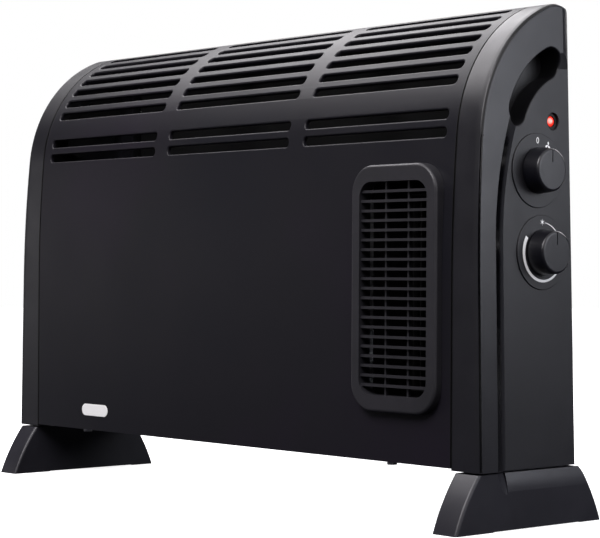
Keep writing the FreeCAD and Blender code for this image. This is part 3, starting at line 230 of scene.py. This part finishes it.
def casing_paint():
    """Satin black powder coat: fine orange peel, faint cool and warm clouds, uneven sheen, and painted shade
    inside the back and in the seams beside the caps.
    """
    made = new_finish("casing_paint", (0.008, 0.007, 0.010), 0.41, specular=0.19)
    at = Maker(made)
    clouds = at.noise(5.0, 3.0, 0.55)
    painted_shade = painted_shade_mask(at)
    tone = at.shades(clouds, [
        (0.30, (0.0058, 0.0058, 0.0086)), (0.50, (0.0077, 0.0073, 0.0098)), (0.72, (0.0096, 0.0074, 0.0124)),
    ])
    # Painted shade: the colour drops to 0.08 of itself inside the back and on the cut ends at the seams.
    at.colour(at.shaded(tone, at.spread(painted_shade, 1.0, 0.08)))
    sheen = at.spread(at.sum(at.noise(14.0, 3.0), at.noise(420.0), 0.35), 0.37, 0.46, 0.35, 1.0)
    at.roughness(at.sum(sheen, painted_shade, 0.35))
    at.relief(at.sum(at.noise(950.0, 1.5), at.noise(320.0), 0.8), 0.10, 0.00022)
    return made


def cap_places(at):
    """Painted shade and sheen of caps and feet: painted shade on the sunk sides, dark reflection lines
    painted along the rim's edges and on the step, painted shade in the grip wells and in the seams beside the
    front sheet, and paler feet.
    """
    depth, height, out = at.axes()
    in_foot = at.spread(height, 1.0, 0.0, 0.0440, 0.0450)
    upright = at.sum(at.sum(out, height, math.tan(math.radians(CAP_LEAN))), in_foot, -0.05)

    level = at.spread(upright, 0.0, 1.0, 0.2940, 0.3010)
    # Sunk side: painted shade, a little darker than the rim, and a little duller.
    sunk = at.window(level, 0.14, 0.30, 0.50, 0.76)
    # Rim corner and step: dark reflection lines painted into the colour, with their own roughness.
    corner = at.window(level, 0.76, 0.82, 0.94, 0.97)
    slope = at.window(level, 0.50, 0.74, 0.94, 0.97)
    past_rim = at.spread(depth, 0.0, 1.0, -0.048, -0.044)
    below_bow = at.spread(height, 1.0, 0.0, 0.285, 0.300)
    before_back = at.spread(depth, 1.0, 0.0, 0.010, 0.030)
    edge = at.larger(at.times(corner, before_back), at.times(slope, at.times(past_rim, below_bow)))
    shoulder = at.window(at.spread(height, 0.0, 1.0, 0.28, 0.38), 0.10, 0.20, 0.80, 0.90)

    flat = at.add("ShaderNodeVectorMath", operation="MULTIPLY")
    at.link(at.place, flat.inputs[0])
    flat.inputs[1].default_value = (0.0, 1.0, 1.0)
    # Grip wells: painted shade inside them, and duller.
    grip_middle = (0.0, 0.05349, 0.28737)
    from_middle = at.distance(flat.outputs["Vector"], grip_middle)
    along = at.window(at.spread(from_middle, 0.0, 1.0, 0.0494, 0.0894), 0.12, 0.22, 0.78, 0.88)
    deep = at.spread(upright, 1.0, 0.0, 0.2945, 0.2960)
    well = at.times(along, at.times(deep, at.spread(depth, 1.0, 0.0, 0.050, 0.054)))

    # Painted shadow line in the seam beside the front sheet.
    beside_seam = at.spread(at.sum(out, in_foot, 0.05), 0.1, 1.0, 0.2707, 0.2712)
    # Painted shade multiplied into the colour: edges and step to 0.12, sunk side to 0.85, seam to 0.1, grip
    # wells to 0.5; the caps sit at 0.60 of the paler feet.
    shade = at.times(at.spread(edge, 1.0, 0.12), at.spread(sunk, 1.0, 0.85))
    shade = at.times(at.times(shade, beside_seam), at.spread(well, 1.0, 0.5))
    shade = at.times(shade, at.spread(in_foot, 0.60, 1.0))
    polish = at.times(edge, at.spread(shoulder, -0.24, 0.30))
    dull = at.sum(at.sum(polish, sunk, 0.08), well, 0.12)
    return shade, dull


def moulding(name, dark, pale, roughness, grain, specular, relief=0.16, places=None):
    """Spark-eroded moulding: clouded colour, fine grain in the relief and the sheen."""
    made = new_finish(name, pale, roughness, specular=specular)
    at = Maker(made)
    clouds = at.sum(at.noise(22.0, 4.0, 0.6), at.noise(grain, 1.0), 0.35)
    middle = tuple((a + b) / 2 for a, b in zip(dark, pale))
    tone = at.shades(clouds, [(0.40, dark), (0.66, middle), (0.95, pale)])
    worn = at.sum(at.noise(60.0, 3.0), at.noise(grain), 0.5)
    sheen = at.spread(worn, roughness - 0.05, roughness + 0.06, 0.4, 1.1)
    # A piece with places gets their painted shade multiplied into its tone and their roughness added to its
    # sheen.
    if places:
        shade, dull = places(at)
        tone = at.shaded(tone, shade)
        sheen = at.sum(sheen, dull, 1.0)
    at.colour(tone)
    at.roughness(sheen)
    at.relief(at.sum(at.noise(grain, 2.0), at.noise(grain * 0.4), 0.6), relief, 0.00020)
    return made


def lens_red():
    """Lit red lens: glows as the pilot lamp does, with a pale spot set towards the front that is partly the
    lamp's hot core and partly a painted highlight, deep red to the rim.
    """
    made = new_finish("lens_red", (0.60, 0.02, 0.015), 0.18)
    at = Maker(made)
    low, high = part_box("pilot_lens")
    middle = [(a + b) / 2 for a, b in zip(low, high)]
    # The pale middle of the glow is partly the lamp's hot core and partly a painted highlight.
    core = (high[0] - 0.5 * MM, middle[1] - 1.8 * MM, middle[2] + 0.4 * MM)
    glow = at.shades(at.spread(at.distance(at.place, core), 0.0, 1.0, 0.0, 5.2 * MM), [
        (0.0, (1.0, 0.62, 0.58)), (0.34, (1.0, 0.40, 0.34)),
        (0.52, (0.95, 0.045, 0.02)), (1.0, (0.30, 0.004, 0.003)),
    ])
    at.link(glow, at.skin.inputs["Emission Color"])
    at.skin.inputs["Emission Strength"].default_value = 0.95
    at.roughness(at.spread(at.noise(700.0), 0.12, 0.22))
    return made


def zinc_sheet():
    """Hot-dip zinc: crystal spangle in the tone and the sheen, fine rolling lines."""
    made = new_finish("zinc_sheet", (0.20, 0.205, 0.21), 0.5, metallic=1.0)
    at = Maker(made)
    at.colour(at.shades(at.cells(130.0, "Color"), [
        (0.15, (0.14, 0.145, 0.15)), (0.60, (0.20, 0.205, 0.21)), (0.95, (0.27, 0.275, 0.28)),
    ]))
    at.roughness(at.spread(at.cells(130.0, "Distance"), 0.42, 0.60, 0.0, 0.9))
    at.relief(at.noise(1400.0, 2.0, place=at.stretched((0.05, 1.0, 1.0))), 0.08, 0.0001)
    return made


def bright_metal(name, colour, roughness, along):
    """Drawn or turned metal: fine lines, uneven sheen and a little staining."""
    made = new_finish(name, colour, roughness, metallic=1.0)
    at = Maker(made)
    stained = tuple(c * 0.62 for c in colour)
    at.colour(at.shades(at.noise(70.0, 4.0, 0.65), [(0.30, stained), (0.60, colour)]))
    lines = at.noise(900.0, 2.0, place=at.stretched(along))
    at.roughness(at.spread(lines, roughness - 0.1, roughness + 0.12))
    at.relief(lines, 0.12, 0.0001)
    return made


def element_metal():
    """Finned element: aluminium dulled and straw-coloured by heat."""
    made = new_finish("element_metal", (0.40, 0.37, 0.34), 0.5, metallic=1.0)
    at = Maker(made)
    at.colour(at.shades(at.noise(18.0, 4.0, 0.6), [
        (0.30, (0.20, 0.19, 0.19)), (0.52, (0.38, 0.35, 0.31)), (0.75, (0.46, 0.37, 0.27)),
    ]))
    at.roughness(at.spread(at.noise(240.0, 3.0), 0.4, 0.62))
    at.relief(at.noise(1200.0), 0.1, 0.0001)
    return made


def core_steel():
    """Stacked laminations: fine dark lines across the height of the stack."""
    made = new_finish("core_steel", (0.30, 0.31, 0.33), 0.45, metallic=1.0)
    at = Maker(made)
    layers = at.bands(320.0, "Z", 0.4)
    at.colour(at.shades(layers, [(0.10, (0.10, 0.10, 0.11)), (0.45, (0.30, 0.31, 0.33))]))
    at.roughness(at.spread(at.noise(90.0, 3.0), 0.38, 0.55))
    at.relief(layers, 0.25, 0.0002)
    return made


def coil_copper():
    """Enamelled winding: rounded turns side by side."""
    made = new_finish("coil_copper", (0.55, 0.22, 0.09), 0.3, metallic=1.0)
    at = Maker(made)
    turns = at.bands(380.0, "X", 0.6)
    at.colour(at.shades(turns, [(0.05, (0.20, 0.06, 0.02)), (0.6, (0.60, 0.25, 0.10))]))
    at.roughness(at.spread(at.noise(120.0), 0.22, 0.38))
    at.relief(turns, 0.5, 0.0003)
    return made


FINISHES = {
    "casing_paint": casing_paint(),
    "lens_red": lens_red(),
    "zinc_sheet": zinc_sheet(),
    "element_metal": element_metal(),
    "core_steel": core_steel(),
    "coil_copper": coil_copper(),
    "screw_steel": bright_metal("screw_steel", (0.36, 0.36, 0.37), 0.36, (1.0, 1.0, 0.06)),
    "bush_brass": bright_metal("bush_brass", (0.58, 0.42, 0.18), 0.34, (1.0, 1.0, 0.1)),
}
MOULDINGS = (
    ("cap_plastic", (0.0115, 0.0112, 0.0145), (0.0184, 0.0180, 0.0230), 0.36, 1500.0, 0.36, 0.16, cap_places),
    ("grille_plastic", (0.013, 0.013, 0.015), (0.020, 0.019, 0.023), 0.40, 1700.0, 0.36),
    ("knob_plastic", (0.0025, 0.0025, 0.0045), (0.0055, 0.0055, 0.0080), 0.34, 1900.0, 0.40),
    ("inner_plastic", (0.006, 0.006, 0.006), (0.011, 0.011, 0.011), 0.55, 1200.0, 0.20),
    ("terminal_plastic", (0.80, 0.80, 0.79), (0.90, 0.90, 0.89), 0.45, 1500.0, 0.50, 0.05),
)
for values in MOULDINGS:
    FINISHES[values[0]] = moulding(*values)

for part in frame["record"]["subparts"]:
    skin = frame["nodes"][part["node"]].data
    skin.materials.clear()
    skin.materials.append(FINISHES[part["material_slot"]])


# Printed marks and the plate on the front

def deselect():
    bpy.ops.object.select_all(action="DESELECT")


def pick(piece):
    deselect()
    piece.select_set(True)
    bpy.context.view_layer.objects.active = piece


def edit(mode="VERT"):
    bpy.ops.object.mode_set(mode="EDIT")
    bpy.ops.mesh.select_mode(type=mode)


def leave():
    bpy.ops.object.mode_set(mode="OBJECT")


def on_dial(node):
    """Turns a flat drawing (right, up, towards the eye) onto a dial, which leans with the cap."""
    low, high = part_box(node)
    middle = Vector((a + b) / 2 for a, b in zip(low, high))
    middle.x += 0.5 * MM
    lean = Matrix.Rotation(math.radians(-CAP_LEAN), 4, "Y")
    return Matrix.Translation(middle) @ lean @ FLAT_TO_RIGHT_SIDE


def on_front(x, z, y):
    """Turns a drawing that lies flat onto the front sheet."""
    return Matrix.Translation((x, y, z)) @ FLAT_TO_FRONT


def thicken(piece, depth):
    pick(piece)
    shell = piece.modifiers.new("thickness", "SOLIDIFY")
    shell.thickness = depth
    shell.offset = 1.0
    bpy.ops.object.modifier_apply(modifier=shell.name)


def settle(piece, name, pose, slot, body="casing"):
    """Puts a finished piece in its place, with the place in its mesh, and hangs it on its body."""
    piece.name = name
    piece.data.name = name
    piece.matrix_world = pose
    pick(piece)
    bpy.ops.object.transform_apply(location=True, rotation=True, scale=True)
    piece.data.materials.clear()
    piece.data.materials.append(FINISHES[slot])
    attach(piece, body)


def join(pieces):
    deselect()
    for piece in pieces:
        piece.select_set(True)
    bpy.context.view_layer.objects.active = pieces[0]
    bpy.ops.object.join()
    return bpy.context.object


def figure(text, size):
    """A numeral drawn flat about the origin."""
    deselect()
    bpy.ops.object.text_add(location=(0, 0, 0))
    drawn = bpy.context.object
    drawn.data.body = text
    drawn.data.size = size
    drawn.data.align_x = "CENTER"
    drawn.data.align_y = "CENTER"
    bpy.ops.object.convert(target="MESH")
    return bpy.context.object


def fan_sign(radius):
    """Three blades round a hub, drawn flat about the origin."""
    blades = []
    for i in range(3):
        deselect()
        bpy.ops.mesh.primitive_circle_add(vertices=20, radius=radius * 0.42, fill_type="NGON")
        blade = bpy.context.object
        edit()
        bpy.ops.mesh.select_all(action="SELECT")
        bpy.ops.transform.resize(value=(0.62, 1.0, 1.0))
        bpy.ops.transform.translate(value=(radius * 0.12, radius * 0.55, 0))
        leave()
        blade.rotation_euler = (0, 0, math.radians(120 * i))
        bpy.ops.object.transform_apply(location=True, rotation=True, scale=True)
        blades.append(blade)
    deselect()
    bpy.ops.mesh.primitive_circle_add(vertices=16, radius=radius * 0.17, fill_type="NGON")
    return join(blades + [bpy.context.object])


def star(radius):
    """Six-pointed frost mark, drawn flat about the origin."""
    deselect()
    bpy.ops.mesh.primitive_circle_add(vertices=12, radius=radius, fill_type="NGON")
    drawn = bpy.context.object
    edit()
    bpy.ops.mesh.select_all(action="DESELECT")
    leave()
    for i, vertex in enumerate(drawn.data.vertices):
        vertex.select = i % 2 == 1
    edit()
    bpy.ops.transform.resize(value=(0.23, 0.23, 1.0))
    leave()
    return drawn


def growing_arc(start, end, first, last):
    """A ring segment drawn clockwise from start to end; first and last are (radius, width)."""
    deselect()
    bpy.ops.mesh.primitive_plane_add(size=1.0)
    drawn = bpy.context.object
    edit()
    bpy.ops.mesh.select_all(action="DESELECT")
    leave()
    for vertex in drawn.data.vertices:
        vertex.select = vertex.co.x > 0
    edit()
    bpy.ops.mesh.delete(type="VERT")
    bpy.ops.mesh.select_all(action="SELECT")
    bpy.ops.transform.translate(value=(0.5, 0, 0))
    bpy.ops.transform.resize(value=(1.0, first[1], 1.0), center_override=(0, 0, 0))
    bpy.ops.transform.translate(value=(0, first[0], 0))
    steps = 74
    stride = math.radians((end - start) / steps)
    bpy.ops.transform.rotate(value=math.radians(start), orient_axis="Z", center_override=(0, 0, 0))
    closer = (last[0] / first[0]) ** (1.0 / steps)
    widths = [first[1] + (last[1] - first[1]) * i / steps for i in range(steps + 1)]
    for i in range(steps):
        bpy.ops.mesh.extrude_region_move()
        bpy.ops.transform.rotate(value=stride, orient_axis="Z", center_override=(0, 0, 0))
        bpy.ops.transform.resize(value=(closer, closer, 1.0), center_override=(0, 0, 0))
        angle = math.radians(start) + stride * (i + 1)
        radius = first[0] * closer ** (i + 1)
        middle = (radius * math.sin(angle), radius * math.cos(angle), 0)
        wider = widths[i + 1] / widths[i] / closer
        bpy.ops.transform.resize(value=(wider, wider, 1.0), center_override=middle)
    bpy.ops.mesh.select_all(action="SELECT")
    bpy.ops.mesh.normals_make_consistent(inside=False)
    leave()
    return drawn


def face_up(drawn):
    """Turns a flat drawing's faces towards the eye."""
    if sum(face.normal.z for face in drawn.data.polygons) < 0:
        pick(drawn)
        edit("FACE")
        bpy.ops.mesh.select_all(action="SELECT")
        bpy.ops.mesh.flip_normals()
        leave()


def print_on(node, drawn, name, angle, reach):
    """Prints a flat drawing on a dial, at an angle clockwise from the top."""
    face_up(drawn)
    thicken(drawn, 0.06 * MM)
    turn = math.radians(angle)
    place = Matrix.Translation((reach * math.sin(turn), reach * math.cos(turn), 0))
    settle(drawn, name, on_dial(node) @ place, "terminal_plastic")


def dial_marks():
    """Print on the two dials: positions of the switch, and the thermostat's growing scale."""
    reach = 22.6 * MM
    print_on("selector_dial", figure("0", 6.6 * MM), "switch_mark_0", 0, reach)
    print_on("selector_dial", fan_sign(3.1 * MM), "switch_mark_fan", 31, reach)
    for text, angle in (("1", 62), ("2", 92), ("3", 121)):
        print_on("selector_dial", figure(text, 6.2 * MM), "switch_mark_" + text, angle, reach)
    arc = growing_arc(8.0, 304.0, (22.8 * MM, 0.5 * MM), (20.9 * MM, 3.1 * MM))
    print_on("thermostat_dial", arc, "thermostat_scale", 0, 0)
    print_on("thermostat_dial", star(2.8 * MM), "thermostat_frost", 0, 23.0 * MM)


def front_plate():
    """Small blank plate with round ends, low on the front."""
    width, height, depth = 39.0 * MM, 10.6 * MM, 0.7 * MM
    deselect()
    bpy.ops.mesh.primitive_plane_add(size=1.0)
    plate = bpy.context.object
    edit()
    bpy.ops.mesh.select_all(action="SELECT")
    bpy.ops.transform.resize(value=(width, height, 1.0))
    bpy.ops.mesh.bevel(offset=height * 0.498, segments=10, affect="VERTICES", profile=0.5)
    bpy.ops.mesh.select_all(action="SELECT")
    bpy.ops.mesh.extrude_region_move(TRANSFORM_OT_translate={"value": (0, 0, depth)})
    bpy.ops.mesh.select_all(action="SELECT")
    bpy.ops.mesh.normals_make_consistent(inside=False)
    leave()
    soft = plate.modifiers.new("edge", "BEVEL")
    soft.width = 0.25 * MM
    soft.segments = 2
    soft.limit_method = "ANGLE"
    bpy.ops.object.modifier_apply(modifier=soft.name)
    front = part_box("front_panel")[0][1]
    settle(plate, "front_plate", on_front(-0.1826, 0.0642, front), "terminal_plastic")


dial_marks()
front_plate()


# Studio

def whiten(tree, dull, white):
    """Joins two shaders: eye, mirror and glass rays get the white one, the rest the dull one."""
    path = tree.nodes.new("ShaderNodeLightPath")
    total = path.outputs["Is Camera Ray"]
    for name in ("Is Glossy Ray", "Is Transmission Ray"):
        either = tree.nodes.new("ShaderNodeMath")
        either.operation = "MAXIMUM"
        tree.links.new(total, either.inputs[0])
        tree.links.new(path.outputs[name], either.inputs[1])
        total = either.outputs["Value"]
    mix = tree.nodes.new("ShaderNodeMixShader")
    tree.links.new(total, mix.inputs["Fac"])
    tree.links.new(dull, mix.inputs[1])
    tree.links.new(white, mix.inputs[2])
    return mix.outputs["Shader"]


def world_light():
    """Dim, slightly cool light from all round, which the eye sees as white."""
    world = bpy.data.worlds.new("studio")
    scene.world = world
    world.use_nodes = True
    tree = world.node_tree
    dull = tree.nodes["Background"]
    dull.inputs["Color"].default_value = (0.92, 0.95, 1.0, 1.0)
    dull.inputs["Strength"].default_value = 0.40
    white = tree.nodes.new("ShaderNodeBackground")
    white.inputs["Color"].default_value = (1.0, 1.0, 1.0, 1.0)
    white.inputs["Strength"].default_value = 1.0
    joined = whiten(tree, dull.outputs["Background"], white.outputs["Background"])
    tree.links.new(joined, tree.nodes["World Output"].inputs["Surface"])


def pale_floor():
    """White floor that keeps the object's shadow and runs into the white background farther out."""
    deselect()
    bpy.ops.mesh.primitive_plane_add(size=14.0, location=(0, 0, 0))
    floor = bpy.context.object
    floor.name = "floor"
    made = bpy.data.materials.new("floor_paper")
    made.use_nodes = True
    tree = made.node_tree
    tree.nodes.remove(tree.nodes["Principled BSDF"])
    paper = tree.nodes.new("ShaderNodeBsdfDiffuse")
    paper.inputs["Color"].default_value = (0.80, 0.80, 0.80, 1.0)
    dim = tree.nodes.new("ShaderNodeBsdfDiffuse")
    dim.inputs["Color"].default_value = (0.25, 0.25, 0.26, 1.0)
    glow = tree.nodes.new("ShaderNodeEmission")
    glow.inputs["Color"].default_value = (1.0, 1.0, 1.0, 1.0)
    spot = tree.nodes.new("ShaderNodeTexCoord")
    away = tree.nodes.new("ShaderNodeVectorMath")
    away.operation = "LENGTH"
    tree.links.new(spot.outputs["Object"], away.inputs[0])
    fade = tree.nodes.new("ShaderNodeMapRange")
    for name, value in (("From Min", 0.7), ("From Max", 2.2), ("To Min", 0.84), ("To Max", 1.0)):
        fade.inputs[name].default_value = value
    tree.links.new(away.outputs["Value"], fade.inputs["Value"])
    tree.links.new(fade.outputs["Result"], glow.inputs["Strength"])
    lit = tree.nodes.new("ShaderNodeAddShader")
    tree.links.new(paper.outputs["BSDF"], lit.inputs[0])
    tree.links.new(glow.outputs["Emission"], lit.inputs[1])
    joined = whiten(tree, dim.outputs["BSDF"], lit.outputs["Shader"])
    tree.links.new(joined, tree.nodes["Material Output"].inputs["Surface"])
    floor.data.materials.append(made)


def dark_cloth():
    made = bpy.data.materials.new("dark_cloth")
    made.use_nodes = True
    cloth = made.node_tree.nodes["Principled BSDF"]
    cloth.inputs["Base Color"].default_value = (0.03, 0.03, 0.035, 1.0)
    cloth.inputs["Roughness"].default_value = 0.95
    cloth.inputs["Specular IOR Level"].default_value = 0.0
    return made


def hide_from_eye(thing, name, made):
    thing.name = name
    thing.data.materials.append(made)
    thing.visible_camera = False
    thing.visible_shadow = False


def dark_wall(made):
    """Dark studio wall all round, unseen by the eye, for the black finishes to mirror."""
    deselect()
    bpy.ops.mesh.primitive_cylinder_add(vertices=64, radius=3.6, depth=3.0, end_fill_type="NOTHING",
                                        location=(0, 0, 1.48))
    hide_from_eye(bpy.context.object, "studio_wall", made)


def dark_card(made, name, low, high, height=0.0005):
    """Dark cloth over a part of the floor or sky, unseen by the eye, that keeps white out of the finishes."""
    deselect()
    bpy.ops.mesh.primitive_plane_add(size=1.0)
    card = bpy.context.object
    card.scale = (high[0] - low[0], high[1] - low[1], 1.0)
    card.location = ((low[0] + high[0]) / 2, (low[1] + high[1]) / 2, height)
    bpy.ops.object.transform_apply(location=True, rotation=True, scale=True)
    hide_from_eye(card, name, made)


def softbox(name, place, aim, width, height, level, tint=(1.0, 0.97, 1.0)):
    """A rectangular light that shows as the given level of white in a mirror."""
    lamp = bpy.data.lights.new(name, "AREA")
    lamp.shape = "RECTANGLE"
    lamp.size = width
    lamp.size_y = height
    lamp.energy = level * math.pi * width * height
    lamp.color = tint
    holder = bpy.data.objects.new(name, lamp)
    holder.location = place
    holder.rotation_euler = (Vector(aim) - Vector(place)).to_track_quat("-Z", "Y").to_euler()
    holder.visible_camera = False
    scene.collection.objects.link(holder)


world_light()
pale_floor()
cloth = dark_cloth()
dark_wall(cloth)
dark_card(cloth, "card_front", (-1.6, -2.2), (2.0, -0.10))
dark_card(cloth, "card_right", (0.31, -0.10), (2.0, 3.5))
dark_card(cloth, "card_back", (-1.6, 0.10), (0.31, 1.6))
dark_card(cloth, "card_under", (-0.31, -0.10), (0.31, 0.10))
dark_card(cloth, "card_above", (-3.6, -3.6), (3.6, -0.7), 2.90)
softbox("overhead", (-0.85, 0.05, 1.28), (-0.75, 0.05, 0.25), 1.8, 0.75, 6.2)
softbox("right_rear", (1.10, 0.48, 0.47), (0.29, -0.03, 0.25), 0.6, 0.5, 6.2, (0.90, 0.92, 1.0))
softbox("right_fill", (1.50, -0.35, 1.05), (0.29, 0.0, 0.25), 1.3, 1.3, 2.2)
softbox("key", (0.35, -1.45, 1.60), (0.0, 0.0, 0.20), 1.1, 1.1, 14.0)
softbox("back", (-0.60, 2.00, 1.20), (0.0, 0.0, 0.20), 1.2, 0.9, 9.0)
softbox("left_front", (-2.20, -1.30, 0.42), (-0.2, 0.0, 0.20), 0.5, 0.5, 1.9)
